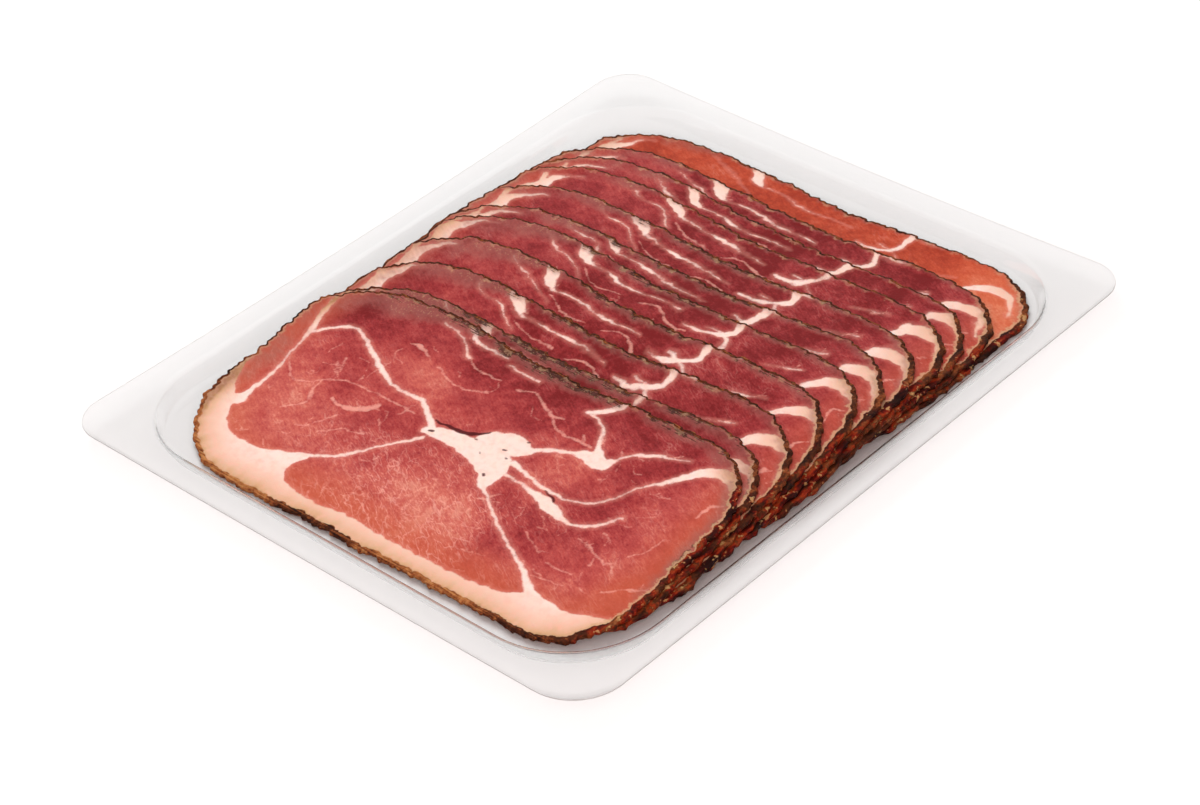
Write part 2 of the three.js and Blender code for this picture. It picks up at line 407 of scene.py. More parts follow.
def draw_depth(strands):
    """A chart of how deep each place lies in the nearest strand: negative outside, in mm.

    Inside a strand the depth is rounded off, so that a thin one isn't lost between two points.
    """
    chart = np.full((len(CHART_Y), len(CHART_X)), -FAR)
    for strand in strands:
        for x, y, half_width in smooth_curve(strand):
            part, gap = chart_window(x, y)
            width = max(half_width, THINNEST)
            depth = np.where(gap < width, (width ** 2 - gap ** 2) / (2 * width), width - gap)
            chart[part] = np.maximum(chart[part], depth)
    return chart


def read_chart(chart, place):
    """The chart's values at places, between its grid points."""
    column = np.clip((place[:, 0] - CHART_X[0]) / CHART_STEP, 0, len(CHART_X) - 1.001)
    row = np.clip((place[:, 1] - CHART_Y[0]) / CHART_STEP, 0, len(CHART_Y) - 1.001)
    i, j = row.astype(int), column.astype(int)
    down, across = row - i, column - j
    near = chart[i, j] * (1 - across) + chart[i, j + 1] * across
    far = chart[i + 1, j] * (1 - across) + chart[i + 1, j + 1] * across
    return near * (1 - down) + far * down


# %% Strands of fat between the muscles
# The main seams: (x, y, half width) in mm. The centre is where they meet.
SEAMS = [
    # The centre, upper part.
    [(3, -33.5, 3.2), (10, -31, 4.1), (16, -30, 1.8), (19, -28, 0.74)],
    # The centre, lower part.
    [(-14, -39.5, 1.8), (-6, -38, 2.8), (3, -38, 3.9), (10, -38.5, 5.5), (13, -41.5, 4.1), (14, -45, 2.8),
     (15, -47.5, 1.5)],
    # Centre to the back left corner.
    [(-14, -37.5, 1.1), (-19, -34.5, 0.9), (-24, -31.5, 0.8), (-34, -31.5, 0.6), (-42, -29, 0.95),
     (-52, -24, 0.7), (-62, -19.5, 0.5), (-68.5, -22.5, 0.7), (-74, -28.5, 0.6)],
    # Down the left side.
    [(-78, -12.5, 1), (-77, -18.5, 1), (-75.5, -23.5, 1.1), (-74, -27.5, 0.9), (-72.5, -35.5, 0.4),
     (-70.5, -44.5, 0.55), (-69.5, -56.5, 1), (-70, -60.5, 2.2)],
    # Centre to the front left.
    [(-13, -42.5, 0.72), (-20, -51.5, 0.5), (-28, -61.5, 0.65), (-33, -65, 0.79), (-37, -68.5, 1.6)],
    # Centre to the front right.
    [(15, -47.5, 1), (19, -50, 0.65), (25, -54, 0.58), (32, -58, 0.58), (40, -62, 0.72), (47, -65.5, 0.86),
     (55, -71.5, 1.8)],
    # A broad seam right of the centre.
    [(17, -40.5, 0.65), (24, -41, 0.58), (31, -42, 1.4), (35, -43, 2.1), (39, -44, 1.7), (44, -45, 0.65),
     (49, -44, 0.58), (53, -40.5, 0.5), (56, -35.5, 0.36)],
    # Centre round to the right end.
    [(16, -36, 1.2), (21, -37, 0.72), (28, -38.5, 0.65), (34, -39, 0.65), (39, -38.5, 0.43), (45, -36, 0.43),
     (50.5, -28.5, 0.43), (52, -24.5, 0.36), (57, -18.5, 0.72), (61.5, -12.5, 1.5), (64.5, -9, 2.1),
     (69, -7.5, 2.1), (73.5, -9.5, 1.7), (77.5, -14, 0.9), (79.5, -18, 0.3)],
    # Back right, down to its patch.
    [(20, -9, 0.5), (25, -10, 0.5), (29, -13, 0.65), (31.5, -17.5, 0.86), (34, -21, 1.9)],
    # The patch.
    [(30, -23, 1.7), (34, -22.5, 2.9), (37.5, -23, 2.3), (39, -20.5, 1.2)],
    # Patch to the centre.
    [(30, -23, 1), (25, -25, 0.72), (20, -27.5, 0.94)],
]
# Fine veins in the meat.
VEINS = [
    [(-22, -36.5, 0.4), (-36, -36.5, 0.32), (-50, -38, 0.32), (-58, -43.5, 0.32), (-64, -45, 0.4),
     (-70.5, -39.5, 0.32)],
    [(-33, -39.5, 0.64), (-35, -42.5, 0.96), (-39, -45, 0.88), (-43, -46, 0.64), (-47, -45, 0.56)],
    [(-55, -41.5, 0.28), (-54.5, -46.5, 0.4), (-52, -50.5, 0.4), (-57, -56.5, 0.24)],
    [(-40, -48.5, 0.28), (-44, -56.5, 0.28), (-48, -59.5, 0.28)],
    [(-34, -52.5, 0.28), (-40, -57.5, 0.28)],
    [(-28, -51, 0.28), (-33, -52.5, 0.32)],
    [(-44, -15.5, 0.24), (-40, -15, 0.72), (-34, -17.5, 0.24)],
    [(-45, -18.5, 0.28), (-45, -21.5, 0.24), (-40, -23, 0.24)],
    [(-30, -18.5, 0.32), (-20, -21.5, 0.28), (-10, -19, 0.32)],
    [(-28, -8.5, 0.28), (-20, -13, 0.36), (-10, -13, 0.32)],
    [(-4, -13.5, 0.28), (2, -11.5, 0.4), (11, -15.5, 0.56), (16, -15, 0.32)],
    [(13, -16.5, 0.32), (18, -19.5, 0.4), (30, -19.5, 0.48)],
    [(25, -17, 0.28), (27, -18.5, 0.28)],
    [(54, -48, 0.32), (59, -50, 0.4), (64, -51.5, 0.4), (65, -50, 0.32)],
    [(60, -51.5, 0.28), (61, -54.5, 0.32)],
    [(65, -50.5, 0.28), (69, -53.5, 0.24)],
    [(76, -17, 0.28), (73, -19.5, 0.56), (73, -24.5, 0.28)],
    [(71, -35.5, 0.28), (70, -41.5, 0.28), (67, -45.5, 0.24)],
    [(80, -52.5, 0.28), (75, -55.5, 0.28), (70, -59.5, 0.32)],
    [(38, -54.5, 0.28), (42, -56.5, 0.28), (46, -58, 0.28)],
    [(50, -60, 0.28), (59, -59.5, 0.28)],
    [(50, -65.5, 0.28), (60, -64, 0.28)],
]
# What the top slice shows near its back edge, and what the ones below show there.
TOP_SEAMS = [
    [(27, 0.5, 1.5), (26, -3, 1.2), (23, -6.5, 1), (20, -9, 0.9)],
    [(-34, 0, 0.75), (-31, -1.5, 0.9), (-28, -4, 0.7), (-15, -4.5, 0.35)],
    [(-42, -3, 0.34), (-33, -5, 0.39), (-25, -11, 0.39)],
    [(-13, -6.5, 0.39), (-6, -7, 0.39), (-1, -7, 0.39)],
    [(39, -20.5, 0.65), (41.5, -16.5, 0.43), (47.5, -12.5, 0.79), (52, -10.5, 0.36), (57, -8.5, 0.36)],
]
LOWER_SEAMS = [
    [(-49, -2, 0.2), (-44, -5, 0.25), (-37, -6, 0.35), (-32, -9, 0.3), (-27, -12.5, 0.2)],
    [(-35.5, 0.5, 2.3), (-32.5, -2.5, 1.9), (-28.5, -5.5, 1.1)],
    [(-28, -6, 0.6), (-22, -6, 0.35), (-11, -8, 0.6), (2, -8, 0.3), (8, -9, 0.2)],
    [(38, 0, 0.3), (30, -1, 0.8)],
    [(27, 0.5, 1.7), (28, -5, 1.3), (26, -9, 1.1), (21, -12, 1), (14, -12.5, 0.5)],
    [(44, -12, 0.15), (50, -10.5, 0.25), (55, -8.5, 0.15)],
    [(63.5, -9.5, 2.2), (68, -8, 2.7), (72.5, -9, 2.2)],
    [(-67, -7, 0.15), (-70.5, -8.5, 0.5), (-73, -11, 1), (-74.8, -14.5, 1.7), (-76, -18.5, 2.8),
     (-76.2, -22, 3.3), (-75.6, -26, 2.2), (-75, -31, 1.1), (-74.5, -37, 0.6)],
]
# Openings between the muscles of the top slice, and small pores in the centre fat. They are not cut into the
# mesh: the dark red-brown the material gives them is painted shade.
SLITS = [
    [(-15, -35.2, 0.3), (-9, -35, 0.55), (-4, -34.4, 0.7), (-1, -32.8, 0.6), (2, -30.5, 0.3)],
    [(31, -39.4, 0.2), (36, -40.9, 0.5)],
    [(-13.5, -39.4, 0.45), (-12.5, -39.2, 0.5)],
    [(0, -34.9, 0.3), (0.8, -34.9, 0.3)], [(10, -33.4, 0.35), (10.6, -33.2, 0.35)],
    [(13, -35.4, 0.3), (13.5, -35.4, 0.3)], [(12, -43.9, 0.4), (12.5, -44.3, 0.4)],
    [(14, -27.9, 0.35), (14.7, -27.7, 0.3)], [(5, -38, 0.25), (5.5, -38.5, 0.25)],
]
# Where the muscles end and the outer fat begins, from the back left round to the back right.
MUSCLE_EDGE = [
    (-86, -10.5), (-86, -35.5), (-82.5, -40.5), (-80, -47.5), (-77, -54.5), (-73, -59), (-71, -57.5),
    (-70.5, -52.5), (-69.5, -56.5), (-70, -61.5), (-68, -66.5), (-64, -70.5), (-60, -72), (-50, -72),
    (-43, -69.5), (-36, -66), (-34, -67.5), (-36.5, -72.5), (-34, -76.5), (-30, -78), (-20, -78.5),
    (-8, -77), (7, -77.5), (25, -77), (40, -76), (48, -74.5), (52, -72.5), (53.5, -70), (50, -67.5),
    (53, -68.5), (58, -70), (63, -70.5), (68, -70.5), (73, -68.5), (78, -66), (82, -63.5), (86, -60.5),
]

# %% [markdown]
# ## Tone of the meat
#
# Cured meat keeps its colour where its muscle worked hardest: burgundy along the back, salmon and
# coral towards the front and the left. A few places are given a tone from 0, burgundy, to 1,
# coral, and the rest lies between them by distance. Marbling is given in the same way.

# %% Tone and marbling charts
TONES = [
    (-66, -10, 0), (-45, -8, 0.3), (-20, -8, 0.15), (5, -8, 0.05), (30, -4, 0.25), (45, -4, 0.15),
    (50, -18, 0.3), (-30, -24, 0.75), (0, -24, 0.45), (-60, -50, 0.85), (-50, -33, 0.45),
    (-25, -45, 0.45), (-58, -66, 0.75), (-20, -72, 0.75), (10, -65, 0.95), (40, -70, 0.55),
    (32, -30, 0.7), (45, -41, 0.3), (40, -52, 0.3), (70, -25, 0.6), (72, -45, 0.6), (70, -62, 0.6),
    (60, -60, 0.6), (-80, -35, 0.6), (-76, -45, 0.6), (-60, -2, 0.4), (-75, -3, 0.45),
]
MARBLING = [
    (15, -66, 0.9), (-10, -62, 0.8), (40, -70, 0.3), (-60, -45, 0.25), (60, -40, 0.3), (0, -10, 0.1),
    (-50, -10, 0.1), (60, -15, 0.2), (-30, -70, 0.4), (50, -60, 0.2), (-20, -30, 0.15),
]
# How golden the rind is along the front, and how smoky the meat is along the back: (x, value).
GOLDEN_RIND = [
    (-88, 0.5), (-75, 0.9), (-60, 1), (-34, 0.9), (-28, 0), (-8, 0), (5, 0.5), (20, 0.9), (40, 0.9),
    (58, 0), (88, 0)]
SMOKE_ALONG = [
    (-88, 0.3), (-65, 0.7), (-55, 1), (-32, 1), (-27, 0.6), (-20, 1), (22, 1), (29, 0.55), (38, 0.9),
    (60, 0.75), (88, 0.9)]


def blend_places(places, softness):
    """A chart that runs smoothly between places (x, y, value), nearer ones counting more."""
    x, y = np.meshgrid(CHART_X, CHART_Y)
    total, weight = np.zeros(x.shape), np.zeros(x.shape)
    for px, py, value in places:
        share = 1 / ((x - px) ** 2 + (y - py) ** 2 + softness ** 2) ** 1.5
        total += share * value
        weight += share
    return total / weight


tone_chart = blend_places(TONES, 6)
marbling_chart = blend_places(MARBLING, 5)
print("tone from", tone_chart.min().round(2), "to", tone_chart.max().round(2))

# %% Chart of the fat
def outside_distance(line):
    """A chart of the distance outside a closed line, in mm: negative inside it."""
    line = np.array(line, float)
    x, y = np.meshgrid(CHART_X, CHART_Y)
    inside = np.zeros(x.shape, bool)
    for (x0, y0), (x1, y1) in zip(line, np.roll(line, -1, axis=0)):
        crosses = (y0 > y) != (y1 > y)
        with np.errstate(divide="ignore", invalid="ignore"):
            inside ^= crosses & (x < x0 + (y - y0) * (x1 - x0) / (y1 - y0))
    away = np.full(x.shape, FAR)
    for px, py in line:
        part, gap = chart_window(px, py)
        away[part] = np.minimum(away[part], gap)
    return np.where(inside, -away, away)


# No outer fat lies along the back, so the line is closed well outside the slice there.
BACK_CLOSURE = [(95, -60), (95, 15), (-95, 15), (-95, -10)]
rim_fat = outside_distance(np.vstack([smooth_curve(MUSCLE_EDGE, 0.4), BACK_CLOSURE]))
top_chart = np.maximum(draw_depth(SEAMS + TOP_SEAMS), rim_fat)
lower_chart = np.maximum(draw_depth(SEAMS + LOWER_SEAMS), rim_fat)


def fine_marbling(count, seed):
    """Short wandering veins, some with a branch, and more of them where the meat is marbled."""
    chance = np.random.default_rng(seed)
    veins = []
    while len(veins) < count:
        start = np.array([chance.uniform(-80, 80), chance.uniform(-80, -1)])
        if chance.uniform() > read_chart(marbling_chart, start[None])[0]:
            continue
        heading = math.radians(chance.normal(-28, 38))
        length = chance.uniform(2.5, 9)
        width = chance.uniform(0.1, 0.32)
        point, path = start, []
        for part in range(5):
            path.append((*point, width * (1 - 0.15 * part)))
            point = point + np.array([math.cos(heading), math.sin(heading)]) * length / 4
            heading += chance.normal(0, 0.45)
        veins.append(path)
        if chance.uniform() < 0.45:
            fork = np.array(path[2][:2])
            side = heading + chance.choice((-1, 1)) * chance.uniform(0.7, 1.3)
            tip = fork + np.array([math.cos(side), math.sin(side)]) * length * 0.4
            bow = (fork + tip) / 2 + 0.2
            veins.append([(*fork, width * 0.8), (*bow, width * 0.7), (*tip, width * 0.5)])
    return veins


slit_chart = draw_depth(SLITS)
vein_chart = draw_depth(VEINS + fine_marbling(200, seed=11))
print("chart:", top_chart.shape, "cells; share of fat", round(float((top_chart > 0).mean()), 3))

# %% [markdown]
# ## Slices
#
# A slice is about 1.3 mm of soft meat that takes the shape of whatever lies below it. A cloth
# simulation could drape it, but the CAD slices already hold its outline and how high it lies along
# the pack. So a grid is warped from a rectangle to that outline, because a grid keeps its squares
# even and gives the fat enough points to follow, and it is extruded down for the thickness. The
# edge is then made uneven, as a knife leaves it, and the back edge curls up a little where nothing
# lies on it.

# %% Soft steps, waves and even lines
TURN = 2 * math.pi


def ramp(values, start, end):
    """Rises softly from 0 at start to 1 at end."""
    share = np.clip((values - start) / (end - start), 0, 1)
    return share * share * (3 - 2 * share)


def wave_sum(values, lengths, seed):
    """A gentle random line: the sum of a few waves of these lengths. It runs from about -1 to 1."""
    chance = np.random.default_rng(seed)
    total = sum(np.sin(values * TURN / length + chance.uniform(0, TURN)) for length in lengths)
    return total / len(lengths) ** 0.5


def soften(values, sigma, mode):
    """Evens out a line of values with a bell curve, sigma in samples. A closed line has mode wrap."""
    reach = int(3 * sigma)
    bell = np.exp(-0.5 * (np.arange(-reach, reach + 1) / sigma) ** 2)
    return np.convolve(np.pad(values, reach, mode=mode), bell / bell.sum(), "valid")


# %% Outline of a CAD slice
ANGLES = np.linspace(-math.pi, math.pi, 2400, endpoint=False)
SIDE_STEPS = 60
EDGE_SAMPLES = 1600
# How far corners are evened out, how far the knife's edge strays, and its wavelengths, in mm.
EDGE_SOFTNESS = 2.2
EDGE_ROUGHNESS = 0.38
EDGE_WAVES = (2.3, 3.7, 5.9, 9.1, 15.0)


def cad_outline(node):
    """The corners of a CAD slice's outline in order, and the bottom height at each, in mm."""
    corners = np.array([vert.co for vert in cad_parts[node].data.vertices]) / MM
    lowest = {}
    for x, y, z in corners.round(3):
        lowest[(x, y)] = min(z, lowest.get((x, y), z))
    ring = np.array([(x, y, z) for (x, y), z in lowest.items()])
    middle = (ring[:, :2].min(0) + ring[:, :2].max(0)) / 2
    order = np.argsort(np.arctan2(ring[:, 1] - middle[1], ring[:, 0] - middle[0]))
    return ring[order], middle


def outline_reach(ring, middle, seed):
    """How far the uneven edge lies from the middle at each of ANGLES, in mm."""
    around = np.vstack([ring, ring[:1]])[:, :2] - middle
    steps = np.linspace(0, 1, SIDE_STEPS, endpoint=False)[:, None]
    dense = np.vstack([start + (end - start) * steps for start, end in zip(around[:-1], around[1:])])
    angle = np.arctan2(dense[:, 1], dense[:, 0])
    reach = np.interp(ANGLES, angle, np.hypot(dense[:, 0], dense[:, 1]), period=TURN)
    x, y = reach * np.cos(ANGLES), reach * np.sin(ANGLES)
    run = np.concatenate([[0], np.cumsum(np.hypot(np.diff(x), np.diff(y)))])
    even = np.linspace(0, run[-1], EDGE_SAMPLES, endpoint=False)
    sigma = EDGE_SOFTNESS * EDGE_SAMPLES / run[-1]
    x, y = (soften(np.interp(even, run, line), sigma, "wrap") for line in (x, y))
    # The two ends are a little more ragged than the long sides.
    crusty = 1.1 + 0.1 * np.clip((x - 60) / 20, 0, 1) + 0.3 * np.clip((-x - 66) / 14, 0, 1)
    rough = EDGE_ROUGHNESS * crusty * wave_sum(even, EDGE_WAVES, seed)
    return np.interp(ANGLES, np.arctan2(y, x), np.hypot(x, y) + rough, period=TURN)


# %% Height of a CAD slice
# Step and softness of the height line, and the run that gives its two ends their slope, in mm.
HEIGHT_STEP = 0.25
HEIGHT_SOFTNESS = 2.0
END_RUN = 3


def height_line(ring):
    """Where the bottom lies along y, in mm, with the facets evened out. It runs on past both ends."""
    order = np.argsort(ring[:, 1])
    y, z = ring[order, 1], ring[order, 2]
    steps = np.arange(y[0] - FAR, y[-1] + FAR, HEIGHT_STEP)
    keep = np.concatenate([[True], np.diff(y) > 0.05])
    y, z = y[keep], z[keep]
    front_slope = (np.interp(y[0] + END_RUN, y, z) - z[0]) / END_RUN
    back_slope = (z[-1] - np.interp(y[-1] - END_RUN, y, z)) / END_RUN
    line = np.interp(steps, y, z)
    line += front_slope * np.minimum(steps - y[0], 0) + back_slope * np.maximum(steps - y[-1], 0)
    return steps, soften(line, HEIGHT_SOFTNESS / HEIGHT_STEP, "edge")


# %% Grid of a slice
TOP_GRID = (378, 188)
LOWER_GRID = (336, 86)


def slice_grid(columns, rows):
    """A closed slab of one unit: a fine grid, walls of three rows and a coarser underside."""
    bm = bmesh.new()
    bmesh.ops.create_grid(bm, x_segments=columns, y_segments=rows, size=1)
    below = bmesh.ops.extrude_face_region(bm, geom=bm.faces[:])["geom"]
    below = [part for part in below if isinstance(part, bmesh.types.BMVert)]
    bmesh.ops.translate(bm, vec=(0, 0, -1), verts=below)
    inner = [vert for vert in below if max(abs(vert.co.x), abs(vert.co.y)) < 0.9999]
    bmesh.ops.unsubdivide(bm, verts=inner, iterations=2)
    walls = [edge for edge in bm.edges if abs(edge.verts[0].co.z - edge.verts[1].co.z) > 0.5]
    bmesh.ops.subdivide_edges(bm, edges=walls, cuts=2)
    bmesh.ops.recalc_face_normals(bm, faces=bm.faces)
    return bm


def spread_rows(v):
    """Moves the rows of a lower slice back: 42 in 100 cover the back 21 in 100, which shows."""
    return np.interp(v, (-1, 0.16, 1), (-1, 0.58, 1))


# %% A grid laid out as a slice
# Thicknesses, the gap below, and how far the edges bulge, curl, wave and droop, in mm.
CAD_THICKNESS = 1.12
SLICE_THICKNESS = 1.32
SLACK = 0.12
EDGE_BULGE = 0.14
EDGE_LUMPS = 0.16
BACK_CURL = 0.45
END_WAVES = 0.25
FRONT_DROOP = 0.6


def shape_slice(co, number, ring, middle, reach, top):
    """Places of a slab's points on the slice, in mm."""
    half = (ring[:, :2].max(0) - ring[:, :2].min(0)) / 2
    flat = np.stack([co[:, 0], co[:, 1] if top else spread_rows(co[:, 1])], 1)
    share = np.abs(flat).max(1)
    flat = flat * half
    length = np.maximum(np.hypot(flat[:, 0], flat[:, 1]), 1e-6)
    to_edge = np.interp(np.arctan2(flat[:, 1], flat[:, 0]), ANGLES, reach, period=TURN)
    factor = 1 + share ** 3 * (to_edge * share / length - 1)
    rim = share > 0.999

    # The cut edge bulges and is lumpy, most of all where it is crusty: at the front and the right end.
    chance = np.random.default_rng(300 + number)
    crusty = 0.25 + 0.4 * ramp(-flat[:, 1], 20, 38) + 0.25 * ramp(flat[:, 0], 55, 80)
    lumps = chance.uniform(-EDGE_LUMPS, EDGE_LUMPS, len(co)) * crusty
    bulge = np.where(rim, EDGE_BULGE * (1 - (2 * co[:, 2] + 1) ** 2) + lumps, 0)
    placed = flat * factor[:, None] * (1 + bulge / length)[:, None] + middle

    # It lies slack on what is below, frilled at the back and wavy at the right end.
    x, y = placed.T
    bottom = np.interp(y, *height_line(ring))
    lie = SLACK + 0.06 * wave_sum(x + 0.35 * y, (47, 29, 19), 5) + 0.05 * wave_sum(y - 0.2 * x, (33, 21), 6)
    height = bottom + CAD_THICKNESS + lie + SLICE_THICKNESS * co[:, 2]
    frill = 0.55 + 0.45 * wave_sum(x, (7, 13, 22), 400 + number)
    height += BACK_CURL * frill * ramp(share, 0.92, 1) * ramp(flat[:, 1], 15, 30)
    height += END_WAVES * wave_sum(y, (6.5, 10, 16), 500 + number) * ramp(x, 66, 82)
    if top:
        height -= FRONT_DROOP * ramp(-flat[:, 1], 31, 41)
    height += np.where(rim & (co[:, 2] > -0.9), chance.uniform(-0.12, 0.04, len(co)) * crusty, 0)
    return np.column_stack([placed, height])


# %% Distance to the edge
EDGE_REACH = 24.0
POINTS_AT_ONCE = 4000


def edge_distance(placed, middle, reach):
    """Distance to the slice's edge, found a few thousand points at a time, up to EDGE_REACH."""
    ring = np.stack([reach * np.cos(ANGLES), reach * np.sin(ANGLES)], 1)[::2] + middle
    gaps = []
    for part in np.array_split(placed[:, :2], len(placed) // POINTS_AT_ONCE + 1):
        gaps.append(np.sqrt(((part[:, None] - ring[None]) ** 2).sum(2).min(1)))
    return np.minimum(np.concatenate(gaps), EDGE_REACH)


# %% [markdown]
# ## What each point knows
#
# A slice has no picture on it. Each of its points keeps a few numbers instead: how deep it lies in
# fat, how pale the meat is, how far the rind and the smoke are. The slices all read the same charts,
# and the reading drifts a little from slice to slice, as the muscles do along a leg. The two lowest
# are read further to the left, because they came from further along it.

# %% Fat, tone and marbling at a slice's points
# How far the charts drift on lower slices, waver on all, and are shifted on the two lowest, in mm.
DRIFT = 0.9
WAVER = 0.2
CHART_SHIFT = {1: 5, 2: 3}


def read_meat(local, number, top):
    """What the charts say at places on a slice, in mm from the middle of its back edge."""
    x, y = local.T
    drift = np.stack([
        wave_sum(x + 3 * y, (90, 37), 40 + number), wave_sum(x - 2 * y, (80, 31), 60 + number)], 1)
    waver = np.stack([
        wave_sum(y + 0.6 * x, (3.1, 4.9, 7.7), 80 + number),
        wave_sum(x - 0.5 * y, (3.7, 5.3, 8.9), 90 + number)], 1)
    place = local + WAVER * waver + (0 if top else DRIFT) * drift
    place[:, 0] -= CHART_SHIFT.get(number, 0) * ramp(-np.abs(x), -60, -40)
    fat = read_chart(top_chart if top else lower_chart, place)
    tone = read_chart(tone_chart, place)
    nothing = np.full(len(local), -FAR)
    if number == 1:
        fat = 1.3 * fat - 0.3
        tone = 0.02 + 0.6 * tone + 0.5 * ramp(x, 38, 68)
    elif not top:
        fat += 0.18 * wave_sum(x, (9, 14, 23), 200 + number) - 0.05
        tone += 0.16 * ramp(-x, 40, 60) - 0.06
    return {
        "fat_depth": fat,
        "vein_depth": nothing if number == 1 else read_chart(vein_chart, place),
        "slit_depth": read_chart(slit_chart, place) if top else nothing,
        "tone": tone,
        "marbling": read_chart(marbling_chart, place),
    }


# %% Rind and smoke at a slice's points
# Where the front and the ends begin, and where they are reached in full, in mm.
FRONT = (45, 70)
LEFT_END = (66, 80)
RIGHT_END = (62, 80)
# Thickness of the rind, what the front and right end add to it, and where fat is palest, in mm.
RIND = 0.7
FRONT_RIND = 0.5
RIGHT_RIND = 0.75
PALE_FAT = 14
# By last slice: how strong the smoke is and how far in it reaches, and how much further at the left.
SMOKE = ((4, 0.8, 2.8), (9, 1, 4.5), (11, 1.12, 6.5))
LEFT_SMOKE = ((6, 5), (11, 9))


def near_edge(local, edge, number, top):
    """How far the rind is at places on a slice, and what smoke and sugar did to the meat there."""
    x, y = local.T
    near_front = ramp(-y, *FRONT)
    near_left = ramp(-x, *LEFT_END)
    near_right = ramp(x, *RIGHT_END)
    around = np.clip(near_front + near_left + near_right, 0, 1)
    covered = 0 if top else ramp(-y, 10, 26)

    # Fat tans towards the rind, but not along the back, where the rind was trimmed off.
    inside = np.minimum(edge, PALE_FAT) + 9 * (1 - np.clip(around + ramp(x, 52, 72), 0, 1))
    tanned = ramp(-x, 70, 80) * (1 - ramp(-y, 62, 76))
    rind = RIND + FRONT_RIND * near_front + (RIGHT_RIND + 0.55 * covered) * near_right

    # Smoke reaches further in on the upper slices, and furthest near the back left corner.
    strength, reach_in = next(values for last, *values in SMOKE if number <= last)
    left_reach = next(reach for last, reach in LEFT_SMOKE if number <= last)
    along = (1 - near_front) * np.interp(x, *zip(*SMOKE_ALONG))
    char = ramp(-edge, -reach_in, 0) * (0.75 + 0.25 * ramp(x, -48, -30))
    smoke = ramp(-edge, -reach_in - 2 * ramp(x, 50, 66) - left_reach * ramp(-x, 35, 60), 0)
    left_smoke = 0.75 * ramp(-edge, -5, 0) * near_left * (1 - ramp(-y, 76, 88))
    crumbs = ramp(wave_sum(x, (4.3, 7.9, 12.7), 300 + number), 0, 0.9)
    return {
        "from_rind": inside - 4 * tanned if top else 0.62 * inside + 2.6 - 1.5 * tanned,
        "rind_depth": rind - edge,
        "golden": 0.7 * near_front * np.interp(x, *zip(*GOLDEN_RIND)) + 0.1 * near_right,
        # Where the right end shows painted light through the meat and painted shade between the slices.
        "painted_glow_end": near_right * (1 if top else 0.6 + 0.4 * covered),
        "toasted": around * ramp(-edge, -22, -7) * (1 if top else 0.6),
        "char": strength * along * char,
        "smoke": np.maximum(strength * along * smoke, left_smoke),
        "fringe": near_right + 0.3 * near_left + 0.5 * along * (1 - near_right) * crumbs,
        "side": np.maximum(near_left, near_right),
    }


# %% Slices
# Charts start this far inside the back edge, and slices lie this far apart in the noise, in mm.
BACK_INSET = 1.0
NOISE_SPACING = 4.0


def make_slice(number, node):
    """One slice in place of its CAD node, with the values that its material reads."""
    top = node == TOP_SLICE
    ring, middle = cad_outline(node)
    reach = outline_reach(ring, middle, seed=100 + number)
    bm = slice_grid(*(TOP_GRID if top else LOWER_GRID))
    for face in bm.faces:
        face.smooth = True
    piece = make_piece(bm, "ham_" + node)
    mesh = piece.data
    co = np.zeros(len(mesh.vertices) * 3)
    mesh.vertices.foreach_get("co", co)
    co = co.reshape(-1, 3)
    placed = shape_slice(co, number, ring, middle, reach, top)
    mesh.vertices.foreach_set("co", (placed * MM).ravel())

    local = placed[:, :2] - (0, ring[:, 1].max() - BACK_INSET)
    edge = edge_distance(placed, middle, reach)
    known = read_meat(local, number, top) | near_edge(local, edge, number, top)
    for name, values in known.items():
        kept = mesh.attributes.new(name, "FLOAT", "POINT")
        kept.data.foreach_set("value", values.astype(np.float32))
    cut = np.column_stack([local, NOISE_SPACING * number + co[:, 2]])
    kept = mesh.attributes.new("cut_place", "FLOAT_VECTOR", "POINT")
    kept.data.foreach_set("vector", cut.astype(np.float32).ravel())
    mesh.update()
    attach(piece, "root")
    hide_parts(node)
    return piece


slices = [make_slice(number, node) for number, node in enumerate(SLICE_NODES, 1)]
print("slices:", len(slices), "with", sum(len(piece.data.polygons) for piece in slices), "faces")

# %% [markdown]
# ## Smoked ham
#
# The finish is that of cooked, cured and smoked pork, cut cold with a sharp blade: moist lean meat
# with fine fibres, soft pinkish-white fat that turns cream and tan near the rind, and a crusty
# rind browned by smoke and sugar. Smoke shows as a brown haze that fades inwards, as char at the
# very edge, and as a tan fringe that breaks up into crumbs along the back. One colour with noise on
# it would look like plastic, so everything is coloured from two sources: the values kept on the
# points say where each part lies, and noise in real sizes makes its edge and its colour uneven.

# %% What the ham's material reads
KEPT = (
    "fat_depth", "vein_depth", "slit_depth", "from_rind", "rind_depth", "smoke", "char", "fringe", "tone",
    "marbling", "golden", "painted_glow_end", "side", "toasted")
# Noise by name: how long, wide and deep its lumps are in mm, and how many degrees the length is turned.
# A muscle fibre is under a tenth of a millimetre wide, which is too fine to show, so "fibres" and
# "grain" are as coarse as the bundles that fibres lie in.
NOISES = {
    "broad": ((9, 9, 9), 0), "bundles": ((2.2, 2.2, 2.2), 0), "fine": ((0.7, 0.7, 0.7), 0),
    "fibres": ((4, 0.9, 1), -28), "grain": ((1.5, 0.45, 0.6), -28), "threads": ((9, 3.2, 3), -28),
    "front_streaks": ((6, 0.36, 0.36), 0), "end_streaks": ((3, 10, 4), 0)}


